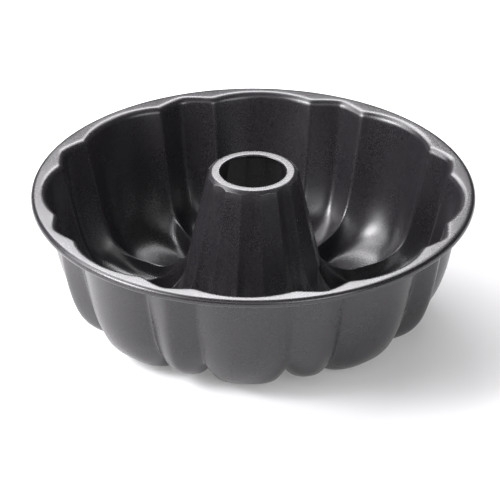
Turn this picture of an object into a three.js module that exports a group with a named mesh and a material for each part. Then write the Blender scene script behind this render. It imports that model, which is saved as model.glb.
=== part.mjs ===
// A fluted ring cake pan: one deep-drawn steel sheet, with its edge rolled round a steel wire.
// Units are millimetres, +Z is up, and the pan stands on Z = 0 with its axis on Z.
import * as THREE from 'three';

// Sheet and rim
const SHEET = 0.8;
const RIM_RADIUS = 134.5;
const RIM_TOP = 83.3;
const BEAD_RADIUS = 2.75;
const BEAD_TURN = 270;
const WIRE_RADIUS = 1.55;
const FLANGE_FILLET = 4.5;

// Wall, given on its food side. A lobe is a wide flute's deepest line, a ridge stands between flutes.
const LOBE = { top: 125.3, draft: 10.9, shoulder: 44.5, sweep: 43.0, floor: 68.0, lift: 0.0 };
const RIDGE = { top: 120.1, draft: 14.7, shoulder: 57.0, sweep: 28.0, floor: 73.8, lift: 12.5 };
const LAND_WIDTH = 9.0;

// Flutes: eight wide ones and eight narrow ones between them, as angles in degrees. Ridges part them,
// and run from the rim down the wall, across the bottom and up the tube as the edges of its flat ribs.
const REPEATS = 8;
const PITCH = 360 / REPEATS;
const WIDE_HALF = { wall: 14.4, bottom: 14.4, tube: 11.3 };
const WIDE_POWER = { wall: 2.1, bottom: 5.5, tube: 2.1 };
const RIDGE_SOFTNESS = { wall: 0.3, bottom: 0.16, tube: 0.3 };
const NARROW_DEPTH = { wall: 1.0, bottom: 0.55, tube: 0.4 };
const NARROW_POWER = { wall: 1.0, bottom: 3.0, tube: 2.0 };
const NARROW_ROUNDING = 0.2;
const LAND_LEVEL = 0.08;
const LAND_FADE = 0.3;

// Tube: a hollow cone, bevelled below the flat ring on top, its eight flutes in line with the wide ones
const TUBE_TOP = 98.8;
const TUBE_DRAFT = 12.2;
const RING_RADIUS = 25.0;
const BEVEL_RADIUS = 27.9;
const BEVEL_DROP = 1.9;
const TUBE_FLUTE_DEPTH = { top: 1.2, foot: 2.4 };
const FLUTE_FLARE = { foot: 27.0, rise: 18.0, run: 12.0 };
const RIB_FLARE = { foot: 38.0, rise: 10.0, run: 10.0 };
const HOLE_RADIUS = 20.0;
const HOLE_BEND = 0.9;

// Columns of vertices in half a repeat: 0 is the middle of a wide flute, 1 a ridge, 2 the middle of a
// narrow flute
const HALF_COLUMNS = [0.5, 0.82, 0.94, 1.06, 1.35];

const radians = THREE.MathUtils.degToRad;
const mix = THREE.MathUtils.lerp;

function ease(t) {
  return THREE.MathUtils.smoothstep(t, 0, 1);
}

// A row is one point of the section, with the direction that its open face looks in.
function row(radius, height, across, up, extra) {
  return { radius, height, across, up, ...extra };
}

// Points on an arc that bulges towards the open face.
function arcRows(centre, radius, from, to, steps, extra) {
  const rows = [];
  for (let i = 0; i <= steps; i += 1) {
    const angle = radians(mix(from, to, i / steps));
    const x = Math.cos(angle);
    const y = Math.sin(angle);
    rows.push(row(centre[0] + radius * x, centre[1] + radius * y, x, y, extra));
  }
  return rows;
}

function curveRows(points, steps, extra) {
  const curve = new THREE.CubicBezierCurve(...points.map((point) => new THREE.Vector2(...point)));
  const rows = [];
  for (let i = 1; i < steps; i += 1) {
    const point = curve.getPoint(i / steps);
    const along = curve.getTangent(i / steps);
    rows.push(row(point.x, point.y, along.y, -along.x, extra(i / steps)));
  }
  return rows;
}

// The rolled rim: the sheet turns out, down and back in round the wire.
function beadRows() {
  const centre = [RIM_RADIUS - BEAD_RADIUS, RIM_TOP - BEAD_RADIUS];
  const rim = { bottom: 0, tube: 0, land: 0 };
  return arcRows(centre, BEAD_RADIUS, 90 - BEAD_TURN, 90, 7, rim);
}

// Flange fillet, wall, rounded bottom and the land that the pan stands on.
function wallRows(line) {
  const slope = radians(line.draft);
  const floor = SHEET + line.lift;
  const top = { bottom: 0, tube: 0, land: 0 };
  const filletCentre = [line.top + FLANGE_FILLET * Math.cos(slope), RIM_TOP - FLANGE_FILLET];
  const start = [line.top, RIM_TOP - FLANGE_FILLET * (1 - Math.sin(slope))];
  const outer = line.floor + LAND_WIDTH / 2;
  const inner = line.floor - LAND_WIDTH / 2;
  const points = [
    start,
    [start[0] - line.shoulder * Math.sin(slope), start[1] - line.shoulder * Math.cos(slope)],
    [outer + line.sweep, floor],
    [outer, floor],
  ];
  const sharesAt = (t) => ({ bottom: ease(2 * t - 1), tube: 0, land: ease(1 - (1 - t) / LAND_FADE) });
  const land = { bottom: 1, tube: 0, land: 1 };
  return [
    ...arcRows(filletCentre, FLANGE_FILLET, 90, 180 - line.draft, 2, top),
    ...curveRows(points, 8, sharesAt),
    row(outer, floor, 0, 1, land),
    row(inner, floor, 0, 1, land),
  ];
}

// Flare, cone, bevel, flat ring and the hole's edge, bent slightly down. Cut is 1 in a flute and 0 on
// a rib.
function tubeRows(line, flare, cut) {
  const slope = radians(TUBE_DRAFT);
  const floor = SHEET + line.lift;
  const inner = line.floor - LAND_WIDTH / 2;
  const coneTop = TUBE_TOP - BEVEL_DROP;
  const coneFoot = BEVEL_RADIUS + (coneTop - flare.foot) * Math.tan(slope);
  const footRadius = coneFoot - cut * TUBE_FLUTE_DEPTH.foot;
  const points = [
    [inner, floor],
    [inner - flare.run, floor],
    [footRadius + flare.rise * Math.sin(slope), flare.foot - flare.rise * Math.cos(slope)],
    [footRadius, flare.foot],
  ];
  const sharesAt = (t) => ({ bottom: 1 - t, tube: t, land: ease(1 - t / LAND_FADE) });
  const cone = { bottom: 0, tube: 1, land: 0 };

  // The bevel stays round, so a flute meets it higher up than a rib does.
  const bevelRun = BEVEL_RADIUS - RING_RADIUS;
  const spread = bevelRun / BEVEL_DROP;
  const reach = bevelRun - cut * TUBE_FLUTE_DEPTH.top - BEVEL_DROP * Math.tan(slope);
  const drop = reach / (spread - Math.tan(slope));
  const bevelAngle = Math.atan2(spread, 1);
  const edgeAngle = (slope + bevelAngle) / 2;
  const ringAngle = (bevelAngle + Math.PI / 2) / 2;
  const lip = [HOLE_RADIUS + HOLE_BEND, TUBE_TOP - HOLE_BEND];
  return [
    ...curveRows(points, 5, sharesAt),
    row(footRadius, flare.foot, Math.cos(slope), Math.sin(slope), cone),
    row(RING_RADIUS + drop * spread, TUBE_TOP - drop, Math.cos(edgeAngle), Math.sin(edgeAngle), cone),
    row(RING_RADIUS, TUBE_TOP, Math.cos(ringAngle), Math.sin(ringAngle), cone),
    ...arcRows(lip, HOLE_BEND, 90, 180, 2, cone),
  ];
}

// A flute property between its values on the wall, at the bottom and on the tube.
function blendOf(values, place) {
  const wall = 1 - place.bottom - place.tube;
  return values.wall * wall + values.bottom * place.bottom + values.tube * place.tube;
}

// A straight rise from the middle of a groove, with the groove's bottom rounded.
function roundedRise(across) {
  return Math.hypot(across, NARROW_ROUNDING) - NARROW_ROUNDING;
}

// How far a place is from a lobe's depth (0) to a ridge's height (1), at an angle from a wide flute's
// middle.
function fluteAt(place, degrees) {
  const offset = Math.abs(((degrees + PITCH / 2) % PITCH + PITCH) % PITCH - PITCH / 2);
  const half = blendOf(WIDE_HALF, place);
  const across = (PITCH / 2 - offset) / (PITCH / 2 - half);
  const wide = Math.pow(offset / half, blendOf(WIDE_POWER, place));
  const corner = Math.pow(roundedRise(across) / roundedRise(1), blendOf(NARROW_POWER, place));
  const narrow = 1 - blendOf(NARROW_DEPTH, place) * (1 - corner);
  const softness = blendOf(RIDGE_SOFTNESS, place);
  const blend = THREE.MathUtils.clamp(0.5 + (narrow - wide) / (2 * softness), 0, 1);
  const level = mix(narrow, wide, blend) - softness * blend * (1 - blend);
  const above = Math.max(0, (level - LAND_LEVEL) / (1 - LAND_LEVEL));
  return mix(level, above * above * (2 - above), place.land);
}

// One point of the sheet: depth 0 is the open face, depth SHEET the other face.
function sheetPoint(lobe, ridge, degrees, depth) {
  const turn = 0.05;
  const flute = fluteAt(lobe, degrees);
  const change = (fluteAt(lobe, degrees + turn) - fluteAt(lobe, degrees - turn)) / (2 * radians(turn));
  const radius = mix(lobe.radius, ridge.radius, flute);
  const height = mix(lobe.height, ridge.height, flute);
  const across = mix(lobe.across, ridge.across, flute);
  const up = mix(lobe.up, ridge.up, flute);
  const climb = across * (ridge.radius - lobe.radius) + up * (ridge.height - lobe.height);
  const normal = new THREE.Vector3(across, -climb * change / radius, up).normalize();
  const point = new THREE.Vector3(radius, 0, height).addScaledVector(normal, -depth);
  return point.applyAxisAngle(new THREE.Vector3(0, 0, 1), radians(degrees));
}

// The angles of one row's vertices. Its columns follow the ridges, which draw together at the tube.
function columnAngles(place) {
  const half = blendOf(WIDE_HALF, place);
  const toAngle = (column) => (column < 1 ? column * half : mix(half, PITCH / 2, column - 1));
  const offsets = [0, ...HALF_COLUMNS, 2].map(toAngle);
  const angles = [];
  for (let repeat = 0; repeat < REPEATS; repeat += 1) {
    const middle = repeat * PITCH;
    offsets.forEach((offset) => angles.push(middle + offset));
    offsets.slice(1, -1).reverse().forEach((offset) => angles.push(middle + PITCH - offset));
  }
  return angles;
}

// Joins a grid of points, closed both ways, into one solid skin.
function closedGrid(loops) {
  const positions = loops.flat().flatMap((point) => point.toArray());
  const around = loops[0].length;
  const indices = [];
  loops.forEach((loop, i) => {
    const next = (i + 1) % loops.length;
    for (let j = 0; j < around; j += 1) {
      const a = i * around + j;
      const b = i * around + (j + 1) % around;
      const c = next * around + (j + 1) % around;
      const d = next * around + j;
      indices.push(a, b, c, a, c, d);
    }
  });
  const geometry = new THREE.BufferGeometry();
  geometry.setAttribute('position', new THREE.Float32BufferAttribute(positions, 3));
  geometry.setIndex(indices);
  geometry.computeVertexNormals();
  return geometry;
}

function panShell() {
  const lobe = [...beadRows(), ...wallRows(LOBE), ...tubeRows(LOBE, FLUTE_FLARE, 1)];
  const ridge = [...beadRows(), ...wallRows(RIDGE), ...tubeRows(RIDGE, RIB_FLARE, 0)];
  const face = (depth) => lobe.map((place, i) => (
    columnAngles(place).map((angle) => sheetPoint(place, ridge[i], angle, depth))
  ));
  const coating = new THREE.MeshStandardMaterial({ color: 0x3a3839, roughness: 0.42, metalness: 0.35 });
  const mesh = new THREE.Mesh(closedGrid([...face(0), ...face(SHEET).reverse()]), coating);
  mesh.name = 'pan_shell';
  return mesh;
}

function rimWire() {
  const steel = new THREE.MeshStandardMaterial({ color: 0x9a9a98, roughness: 0.35, metalness: 1.0 });
  const ring = new THREE.TorusGeometry(RIM_RADIUS - BEAD_RADIUS, WIRE_RADIUS, 8, REPEATS * 12);
  const mesh = new THREE.Mesh(ring, steel);
  mesh.name = 'rim_wire';
  mesh.position.z = RIM_TOP - BEAD_RADIUS;
  return mesh;
}

const group = new THREE.Group();
group.add(panShell(), rimWire());

export default group;
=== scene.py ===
"""The looks of a fluted ring cake pan: a coated, deep-drawn steel shell, its rim rolled round a wire."""
import math

import bpy
import numpy as np
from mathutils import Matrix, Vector


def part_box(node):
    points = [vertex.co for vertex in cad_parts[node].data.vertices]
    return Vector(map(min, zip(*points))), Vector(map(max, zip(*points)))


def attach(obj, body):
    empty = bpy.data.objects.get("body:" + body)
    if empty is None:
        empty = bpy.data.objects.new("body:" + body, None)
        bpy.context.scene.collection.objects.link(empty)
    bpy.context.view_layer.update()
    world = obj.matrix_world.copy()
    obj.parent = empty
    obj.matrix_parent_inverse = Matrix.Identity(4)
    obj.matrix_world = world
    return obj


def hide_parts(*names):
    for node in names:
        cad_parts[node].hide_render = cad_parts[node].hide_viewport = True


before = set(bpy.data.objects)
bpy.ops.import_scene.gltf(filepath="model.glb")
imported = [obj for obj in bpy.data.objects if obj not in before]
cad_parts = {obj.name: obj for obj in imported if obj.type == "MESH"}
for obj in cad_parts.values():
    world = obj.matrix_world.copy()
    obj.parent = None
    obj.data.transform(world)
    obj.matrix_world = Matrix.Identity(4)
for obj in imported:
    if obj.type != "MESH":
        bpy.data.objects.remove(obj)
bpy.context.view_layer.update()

# The pan's sizes are in millimetres, as in the part's source, and MM turns them into the frame's metres.
# Angles are in degrees.
MM = 0.001
TUBE_TOP = (Vector(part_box("pan_shell")[1]) / MM).z
WIRE_LOW, WIRE_HIGH = [Vector(corner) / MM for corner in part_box("rim_wire")]
WIRE_HEIGHT = (WIRE_LOW.z + WIRE_HIGH.z) / 2
WIRE_RADIUS = (WIRE_HIGH.z - WIRE_LOW.z) / 2
RING_RADIUS_OF_WIRE = WIRE_HIGH.x - WIRE_RADIUS

# Sheet and rim
SHEET = 0.8
CUT_EDGE_BULGE = 0.3
BEAD_RADIUS = 2.75
BEAD_TURN = 270
RIM_TOP = WIRE_HEIGHT + BEAD_RADIUS
FLANGE_FILLET = 4.5

# Two lines down the food side: a lobe is a wide flute's deepest line, a ridge stands between two flutes.
# top is the wall's radius at the flange, draft its lean, floor the radius of the land's middle and lift
# its height above the lowest land. shoulder and sweep are how far the wall's curve keeps its direction at
# its top and at its bottom. foot is the height where the tube's cone starts, and rise and run are how far
# the flare keeps its direction at the cone and at the land. cut is 1 where the tube's flute is cut in.
LOBE = dict(top=125.3, draft=10.9, shoulder=44.5, sweep=43.0, floor=68.0, lift=0.0, cut=1.0,
            foot=27.0, rise=18.0, run=12.0)
RIDGE = dict(top=120.1, draft=14.7, shoulder=57.0, sweep=28.0, floor=73.8, lift=12.5, cut=0.0,
             foot=38.0, rise=10.0, run=10.0)
LAND_WIDTH = 9.0

# Flutes: eight wide and eight narrow ones, parted by ridges that run from the rim to the top of the tube.
# Five things differ between the wall, the bottom and the tube: the wide flutes' half width in degrees, how
# softly a ridge is rounded, how deep the narrow flutes are, and the powers that shape both hollows.
REPEATS = 8
PITCH = 360 / REPEATS
WIDE_HALF = dict(wall=14.4, bottom=14.4, tube=11.3)
WIDE_POWER = dict(wall=2.1, bottom=5.5, tube=2.1)
RIDGE_SOFTNESS = dict(wall=0.3, bottom=0.16, tube=0.3)
NARROW_DEPTH = dict(wall=1.0, bottom=0.55, tube=0.4)
NARROW_POWER = dict(wall=1.0, bottom=3.0, tube=2.0)
NARROW_ROUNDING = 0.2
LAND_LEVEL = 0.08
LAND_FADE = 0.3

# Tube
TUBE_LEAN = math.radians(12.2)
RING_RADIUS = 25.0
BEVEL_RADIUS = 27.9
BEVEL_DROP = 1.9
FLUTE_DEPTH_AT_TOP = 1.2
FLUTE_DEPTH_AT_FOOT = 2.4
HOLE_RADIUS = 20.0
HOLE_BEND = 0.9
BEVEL_EDGE_REACH = 0.25
RING_EDGE_REACH = 0.64

# How finely the sheet is drawn: steps along its outline, rows round its cut edges, and columns over half a
# repeat, which crowd towards the ridge
BEAD_STEPS = 30
FILLET_STEPS = 10
FLANGE_STEPS = 3
WALL_STEPS = 48
LAND_STEPS = 3
FLARE_STEPS = 28
CONE_STEPS = 14
BEVEL_EDGE_STEPS = 4
BEVEL_STEPS = 2
RING_EDGE_STEPS = 5
RING_STEPS = 3
LIP_STEPS = 6
CUT_EDGE_ROWS = 4
WIDE_COLUMNS = 19
NARROW_COLUMNS = 15
CROWDING = 1.5

# Coating: linear colours, noise scales, and the depth of the grain in metres
COATING_DARK = (0.0066, 0.006, 0.007, 1)
COATING_LIGHT = (0.03, 0.027, 0.031, 1)
COATING_ROUGHNESS = (0.25, 0.30)
COATING_IOR = 1.6
GRAIN_SCALE = 1300
GRAIN_RANGE = (0.38, 0.66)
CLOUD_SCALE = 38
CLOUD_RANGE = (0.3, 0.7)
BUMP_DEPTH = 0.00008
BUMP_STRENGTH = 0.5

# Wire: linear colours and a noise scale
WIRE_DARK = (0.5, 0.49, 0.48, 1)
WIRE_LIGHT = (0.62, 0.61, 0.6, 1)
WIRE_ROUGHNESS = (0.28, 0.45)
WIRE_GRAIN_SCALE = 900
WIRE_SEGMENTS = 256
WIRE_SIDES = 24

# Studio, in metres
FLOOR_SIZE = 6.0
FLOOR_COLOUR = (0.76, 0.76, 0.76, 1)
FLOOR_ROUGHNESS = 0.7
FLOOR_SPECULAR = 0.1
FLOOR_GLOW = 0.2
WHITE = (1, 1, 1, 1)
WORLD_STRENGTH = 0.1
LIGHT_COLOUR = (1.0, 0.985, 1.015)
LIGHT_AIM_HEIGHT = 0.05

# Camera: 12 m away behind a long lens, aimed below the middle of the rim's plane. The view's width and the
# aim are in metres, and the sensor is in millimetres.
ELEVATION = 29.1
AZIMUTH = 2.46
CAMERA_DISTANCE = 12.0
CLIP_END = 50
SENSOR_WIDTH = 36
VIEW_WIDTH = 0.3023
AIM_ACROSS = -0.0019
AIM_UP = -0.0343


def mix(a, b, t):
    return a + (b - a) * t


# ---------------------------------------------------------------- the shell's section

def arc(centre, radius, start, end, steps):
    angles = np.radians(np.linspace(start, end, steps + 1))
    return [(centre[0] + radius * math.cos(a), centre[1] + radius * math.sin(a)) for a in angles]


def straight(start, end, steps):
    """Points after start, up to and without end."""
    return [tuple(mix(np.array(start), np.array(end), i / steps)) for i in range(1, steps)]


def bezier(points, steps):
    """Points of a cubic curve without its two ends."""
    a, b, c, d = (np.array(point) for point in points)
    rows = []
    for t in np.linspace(0, 1, steps + 1)[1:-1]:
        s = 1 - t
        rows.append(tuple(s ** 3 * a + 3 * s * s * t * b + 3 * s * t * t * c + t ** 3 * d))
    return rows


def round_corner(before, corner, after, reach, steps):
    """A corner with its point eased off over reach on each side."""
    before, corner, after = (np.array(point) for point in (before, corner, after))
    start = corner + (before - corner) / np.linalg.norm(before - corner) * reach
    end = corner + (after - corner) / np.linalg.norm(after - corner) * reach
    rows = []
    for t in np.linspace(0, 1, steps + 1):
        rows.append(tuple((1 - t) ** 2 * start + 2 * t * (1 - t) * corner + t * t * end))
    return rows


def ease(t):
    t = np.clip(t, 0, 1)
    return t * t * (3 - 2 * t)


def rows_of(points, bottom, tube, land=0.0):
    """Rows of radius, height, and the shares of bottom, tube and flat land."""
    count = len(points)
    shares = [np.broadcast_to(share, count) for share in (bottom, tube, land)]
    return [(*point, *three) for point, *three in zip(points, *shares)]


def rim_rows(line):
    """The rolled bead, the flat flange, and the fillet into the wall."""
    bead = arc((RING_RADIUS_OF_WIRE, WIRE_HEIGHT), BEAD_RADIUS, 90 - BEAD_TURN, 90, BEAD_STEPS)
    slope = math.radians(line["draft"])
    fillet_centre = (line["top"] + FLANGE_FILLET * math.cos(slope), RIM_TOP - FLANGE_FILLET)
    fillet = arc(fillet_centre, FLANGE_FILLET, 90, 180 - line["draft"], FILLET_STEPS)
    flange = straight((RING_RADIUS_OF_WIRE, RIM_TOP), fillet[0], FLANGE_STEPS)
    return rows_of(bead + flange + fillet, 0, 0)


def land_ends(line):
    """The outer and the inner end of the land."""
    height = SHEET + line["lift"]
    return (line["floor"] + LAND_WIDTH / 2, height), (line["floor"] - LAND_WIDTH / 2, height)


def wall_rows(line):
    """The wall, its sweep into the bottom, and the land."""
    outer, inner = land_ends(line)
    slope = math.radians(line["draft"])
    top = (line["top"], RIM_TOP - FLANGE_FILLET * (1 - math.sin(slope)))
    shoulder = (top[0] - line["shoulder"] * math.sin(slope), top[1] - line["shoulder"] * math.cos(slope))
    wall = bezier([top, shoulder, (outer[0] + line["sweep"], outer[1]), outer], WALL_STEPS)
    along = np.arange(1, WALL_STEPS) / WALL_STEPS
    land = [outer] + straight(outer, inner, LAND_STEPS) + [inner]
    fade = ease(1 - (1 - along) / LAND_FADE)
    return rows_of(wall, ease(2 * along - 1), 0, fade) + rows_of(land, 1, 0, 1)


def tube_foot(line):
    """Where the flare ends and the cone starts."""
    cone_height = TUBE_TOP - BEVEL_DROP - line["foot"]
    radius = BEVEL_RADIUS + cone_height * math.tan(TUBE_LEAN) - line["cut"] * FLUTE_DEPTH_AT_FOOT
    return (radius, line["foot"])


def flare_rows(line):
    """The flare from the land up to the cone."""
    inner = land_ends(line)[1]
    foot = tube_foot(line)
    start = (inner[0] - line["run"], inner[1])
    end = (foot[0] + line["rise"] * math.sin(TUBE_LEAN), foot[1] - line["rise"] * math.cos(TUBE_LEAN))
    flare = bezier([inner, start, end, foot], FLARE_STEPS)
    along = np.arange(1, FLARE_STEPS) / FLARE_STEPS
    return rows_of(flare, 1 - along, along, ease(1 - along / LAND_FADE))


def tube_rows(line):
    """The cone, the bevel, the flat ring, and the hole's edge, bent slightly down.
    The bevel stays round, so a flute meets it higher up than a rib does."""
    foot = tube_foot(line)
    spread = (BEVEL_RADIUS - RING_RADIUS) / BEVEL_DROP
    depth = line["cut"] * FLUTE_DEPTH_AT_TOP
    reach = BEVEL_RADIUS - RING_RADIUS - depth - BEVEL_DROP * math.tan(TUBE_LEAN)
    drop = reach / (spread - math.tan(TUBE_LEAN))
    bevel_low = (RING_RADIUS + drop * spread, TUBE_TOP - drop)
    bevel_high = (RING_RADIUS, TUBE_TOP)
    hole_edge = (HOLE_RADIUS + HOLE_BEND, TUBE_TOP)
    low_corner = round_corner(foot, bevel_low, bevel_high, BEVEL_EDGE_REACH, BEVEL_EDGE_STEPS)
    high_corner = round_corner(bevel_low, bevel_high, hole_edge, RING_EDGE_REACH, RING_EDGE_STEPS)
    lip = arc((hole_edge[0], TUBE_TOP - HOLE_BEND), HOLE_BEND, 90, 180, LIP_STEPS)
    cone = [foot] + straight(foot, low_corner[0], CONE_STEPS) + low_corner
    bevel = straight(low_corner[-1], high_corner[0], BEVEL_STEPS) + high_corner
    ring = straight(high_corner[-1], lip[0], RING_STEPS) + lip
    return rows_of(cone + bevel + ring, 0, 1)


def section(line):
    """The open face's outline for one line of the pan, from inside the rolled rim to the tube's hole."""
    return np.array(rim_rows(line) + wall_rows(line) + flare_rows(line) + tube_rows(line))


# ---------------------------------------------------------------- the shell's surface

def column_places():
    """Columns over one repeat: 0 is the middle of a wide flute, 1 a ridge, 2 the middle of a narrow flute.
    The second list says on which side of the wide flute each column lies."""
    wide = 1 - (1 - np.linspace(0, 1, WIDE_COLUMNS)) ** CROWDING
    narrow = 1 + (1 - np.cos(np.linspace(0, math.pi, NARROW_COLUMNS))) / 2
    half = np.concatenate([wide, narrow[1:]])
    places = np.concatenate([half, half[-2:0:-1]])
    sides = np.concatenate([np.ones(len(half)), -np.ones(len(half) - 2)])
    return places, sides


def blend_of(values, bottom, tube):
    return values["wall"] * (1 - bottom - tube) + values["bottom"] * bottom + values["tube"] * tube


def rounded(distance):
    """The distance from a narrow flute's middle, with the crease in the middle rounded off."""
    return np.hypot(distance, NARROW_ROUNDING) - NARROW_ROUNDING


def flute(offset, half, bottom, tube, land):
    """How far a place is from a lobe's depth (0) to a ridge's height (1)."""
    across = (PITCH / 2 - offset) / (PITCH / 2 - half)
    wide = (offset / half) ** blend_of(WIDE_POWER, bottom, tube)
    corner = (rounded(across) / rounded(1.0)) ** blend_of(NARROW_POWER, bottom, tube)
    narrow = 1 - blend_of(NARROW_DEPTH, bottom, tube) * (1 - corner)
    softness = blend_of(RIDGE_SOFTNESS, bottom, tube)
    blend = np.clip(0.5 + (narrow - wide) / (2 * softness), 0, 1)
    level = mix(narrow, wide, blend) - softness * blend * (1 - blend)
    above = np.maximum(0, (level - LAND_LEVEL) / (1 - LAND_LEVEL))
    return mix(level, above ** 2 * (2 - above), land)


def open_face():
    """The grid of points of the sheet's open face: rows from rim to hole, columns once round."""
    lobe = section(LOBE)[:, None, :]
    ridge = section(RIDGE)[:, None, :]
    places, sides = column_places()
    half = blend_of(WIDE_HALF, lobe[..., 2], lobe[..., 3])
    offset = np.where(places < 1, places * half, half + (places - 1) * (PITCH / 2 - half))
    height_share = flute(offset, half, lobe[..., 2], lobe[..., 3], lobe[..., 4])
    radius = mix(lobe[..., 0], ridge[..., 0], height_share)
    height = mix(lobe[..., 1], ridge[..., 1], height_share)
    angle_in_repeat = np.where(sides > 0, offset, PITCH - offset)
    turns = [np.radians(repeat * PITCH + angle_in_repeat) for repeat in range(REPEATS)]
    angle = np.concatenate(turns, axis=1)
    radius = np.tile(radius, REPEATS)
    height = np.tile(height, REPEATS)
    return np.stack([radius * np.cos(angle), radius * np.sin(angle), height], axis=-1)


def grid_normals(grid):
    down = np.gradient(grid, axis=0)
    around = np.roll(grid, -1, axis=1) - np.roll(grid, 1, axis=1)
    normals = np.cross(around, down)
    return normals / np.linalg.norm(normals, axis=-1, keepdims=True)


def rounded_edge(edge, normals, outward):
    """Rows that lead round a cut edge of the sheet, from the open face to the other face."""
    rows = []
    for angle in np.linspace(0, math.pi, CUT_EDGE_ROWS + 2)[1:-1]:
        sunk = SHEET / 2 * (1 - math.cos(angle))
        rows.append(edge - normals * sunk + outward * (CUT_EDGE_BULGE * math.sin(angle)))
    return np.array(rows)


def closed_sheet():
    """The points of both faces and of the cut edges between them: a loop of rows, columns once round."""
    grid = open_face()
    normals = grid_normals(grid)
    back = grid - normals * SHEET
    ends = []
    for edge, inside in ((-1, -2), (0, 1)):
        outward = grid[edge] - grid[inside]
        outward = outward / np.linalg.norm(outward, axis=-1, keepdims=True)
        ends.append(rounded_edge(grid[edge], normals[edge], outward))
    return np.concatenate([grid, ends[0], back[::-1], ends[1][::-1]])


def shell_mesh():
    loops = closed_sheet()
    rows, columns = loops.shape[:2]
    index = np.arange(rows * columns).reshape(rows, columns)
    below = np.roll(index, -1, axis=0)
    quads = np.stack([index, np.roll(index, -1, axis=1), np.roll(below, -1, axis=1), below], axis=-1)
    mesh = bpy.data.meshes.new("coated_shell")
    mesh.from_pydata((loops * MM).reshape(-1, 3).tolist(), [], quads.reshape(-1, 4).tolist())
    mesh.polygons.foreach_set("use_smooth", [True] * len(mesh.polygons))
    mesh.update()
    return mesh


def coated_shell():
    shell = bpy.data.objects.new("coated_shell", shell_mesh())
    bpy.context.scene.collection.objects.link(shell)
    return shell


# ---------------------------------------------------------------- materials

def new_material(name):
    material = bpy.data.materials.new(name)
    material.use_nodes = True
    return material, material.node_tree.nodes["Principled BSDF"]


def noise(material, scale, detail, roughness=0.5):
    """Noise that keeps its place on the piece."""
    nodes = material.node_tree.nodes
    place = nodes.new("ShaderNodeTexCoord")
    node = nodes.new("ShaderNodeTexNoise")
    node.inputs["Scale"].default_value = scale
    node.inputs["Detail"].default_value = detail
    node.inputs["Roughness"].default_value = roughness
    material.node_tree.links.new(place.outputs["Object"], node.inputs["Vector"])
    return node.outputs["Fac"]


def ramp(material, source, low, high, low_value, high_value):
    """Low gives low_value, high gives high_value."""
    node = material.node_tree.nodes.new("ShaderNodeMapRange")
    node.inputs["From Min"].default_value = low
    node.inputs["From Max"].default_value = high
    node.inputs["To Min"].default_value = low_value
    node.inputs["To Max"].default_value = high_value
    material.node_tree.links.new(source, node.inputs["Value"])
    return node.outputs["Result"]


def colour_between(material, source, dark, light):
    node = material.node_tree.nodes.new("ShaderNodeMix")
    node.data_type = "RGBA"
    node.inputs["A"].default_value = dark
    node.inputs["B"].default_value = light
    material.node_tree.links.new(source, node.inputs["Factor"])
    return node.outputs["Result"]


def bump(material, source):
    node = material.node_tree.nodes.new("ShaderNodeBump")
    node.inputs["Strength"].default_value = BUMP_STRENGTH
    node.inputs["Distance"].default_value = BUMP_DEPTH
    material.node_tree.links.new(source, node.inputs["Height"])
    return node.outputs["Normal"]


def coating_material():
    """Dark grey satin non-stick coating: a fine grain in colour and surface, and a faintly uneven gloss."""
    material, shader = new_material("nonstick_coating")
    links = material.node_tree.links
    grain = noise(material, GRAIN_SCALE, detail=2, roughness=0.7)
    cloud = noise(material, CLOUD_SCALE, detail=4)
    speckle = ramp(material, grain, *GRAIN_RANGE, 0, 1)
    links.new(colour_between(material, speckle, COATING_DARK, COATING_LIGHT), shader.inputs["Base Color"])
    links.new(ramp(material, cloud, *CLOUD_RANGE, *COATING_ROUGHNESS), shader.inputs["Roughness"])
    links.new(bump(material, grain), shader.inputs["Normal"])
    shader.inputs["IOR"].default_value = COATING_IOR
    shader.inputs["Metallic"].default_value = 0.0
    return material


def wire_material():
    """Bright drawn steel wire with a fine grain."""
    material, shader = new_material("drawn_wire")
    links = material.node_tree.links
    grain = noise(material, WIRE_GRAIN_SCALE, detail=3)
    links.new(ramp(material, grain, 0, 1, *WIRE_ROUGHNESS), shader.inputs["Roughness"])
    links.new(colour_between(material, grain, WIRE_DARK, WIRE_LIGHT), shader.inputs["Base Color"])
    shader.inputs["Metallic"].default_value = 1.0
    return material


def floor_material():
    """Pale matt paper that glows a little, so that the pan's shadow stays soft."""
    material, shader = new_material("pale_floor")
    shader.inputs["Base Color"].default_value = FLOOR_COLOUR
    shader.inputs["Roughness"].default_value = FLOOR_ROUGHNESS
    shader.inputs["Specular IOR Level"].default_value = FLOOR_SPECULAR
    shader.inputs["Emission Color"].default_value = WHITE
    shader.inputs["Emission Strength"].default_value = FLOOR_GLOW
    return material


# ---------------------------------------------------------------- the wire in the rim

def round_wire():
    bpy.ops.mesh.primitive_torus_add(major_radius=RING_RADIUS_OF_WIRE * MM, minor_radius=WIRE_RADIUS * MM,
                                     major_segments=WIRE_SEGMENTS, minor_segments=WIRE_SIDES,
                                     location=(0, 0, WIRE_HEIGHT * MM))
    wire = bpy.context.object
    wire.name = "steel_wire"
    bpy.ops.object.transform_apply(location=True, rotation=False, scale=False)
    bpy.ops.object.shade_smooth()
    return wire


# ---------------------------------------------------------------- studio

def floor():
    bpy.ops.mesh.primitive_plane_add(size=FLOOR_SIZE, location=(0, 0, 0))
    plane = bpy.context.object
    plane.name = "studio_floor"
    plane.data.materials.append(floor_material())


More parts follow.
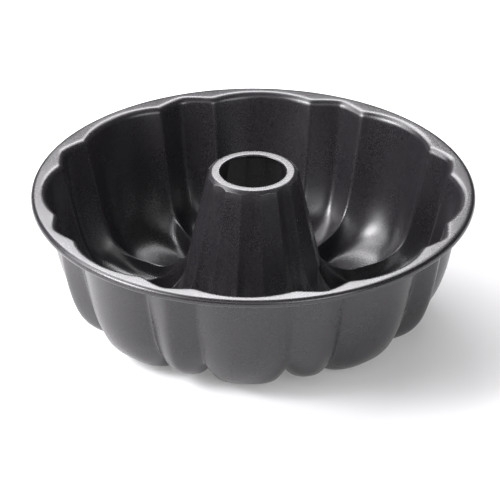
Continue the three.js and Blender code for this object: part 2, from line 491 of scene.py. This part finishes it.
def soft_box(name, bearing, climb, width, height, strength, distance=1.2):
    """An area light that faces the pan. Bearing 0 is behind the pan, 90 to its right and 180 in front.
    Climb is its angle above the floor, and strength sets how bright its face is, whatever its size."""
    turn = math.radians(bearing)
    rise = math.radians(climb)
    level = math.cos(rise)
    direction = Vector((math.sin(turn) * level, math.cos(turn) * level, math.sin(rise)))
    data = bpy.data.lights.new(name, "AREA")
    data.shape = "RECTANGLE"
    data.size = width
    data.size_y = height
    data.energy = strength * width * height * math.pi
    data.color = LIGHT_COLOUR
    light = bpy.data.objects.new(name, data)
    light.location = direction * distance + Vector((0, 0, LIGHT_AIM_HEIGHT))
    light.rotation_euler = (-direction).to_track_quat("-Z", "Y").to_euler()
    light.visible_camera = False
    bpy.context.scene.collection.objects.link(light)


def lights():
    soft_box("left_box", bearing=-105, climb=32, width=1.2, height=1.0, strength=5.0)
    soft_box("left_core", bearing=-110, climb=36, width=0.4, height=0.4, strength=22.0)
    soft_box("back_left_box", bearing=-55, climb=55, width=0.9, height=0.5, strength=5.0)
    soft_box("back_box", bearing=-12, climb=41.5, width=0.42, height=0.2, strength=10.0, distance=0.6)
    soft_box("back_high_box", bearing=12, climb=54, width=0.9, height=0.4, strength=5.5)
    soft_box("front_box", bearing=145, climb=22, width=0.7, height=0.5, strength=4.5)
    soft_box("front_fill", bearing=180, climb=42, width=0.9, height=0.5, strength=1.2)


def studio():
    floor()
    world = bpy.data.worlds.new("studio")
    world.use_nodes = True
    world.node_tree.nodes["Background"].inputs["Color"].default_value = WHITE
    world.node_tree.nodes["Background"].inputs["Strength"].default_value = WORLD_STRENGTH
    bpy.context.scene.world = world
    lights()
    bpy.context.scene.view_settings.view_transform = "Standard"


def camera():
    turn = math.radians(AZIMUTH)
    rise = math.radians(ELEVATION)
    level = math.cos(rise)
    back = Vector((math.sin(turn) * level, -math.cos(turn) * level, math.sin(rise)))
    across = Vector((math.cos(turn), math.sin(turn), 0))
    up = back.cross(across)
    aim = Vector((0, 0, RIM_TOP * MM)) + across * AIM_ACROSS + up * AIM_UP
    data = bpy.data.cameras.new("camera")
    data.sensor_width = SENSOR_WIDTH
    data.lens = data.sensor_width * CAMERA_DISTANCE / VIEW_WIDTH
    data.clip_end = CLIP_END
    view = bpy.data.objects.new("camera", data)
    view.location = aim + back * CAMERA_DISTANCE
    view.rotation_euler = (-back).to_track_quat("-Z", "Y").to_euler()
    bpy.context.scene.collection.objects.link(view)
    bpy.context.scene.camera = view


shell = coated_shell()
shell.data.materials.append(coating_material())
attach(shell, "root")
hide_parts("pan_shell")

wire = round_wire()
wire.data.materials.append(wire_material())
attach(wire, "root")
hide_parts("rim_wire")

studio()
camera()
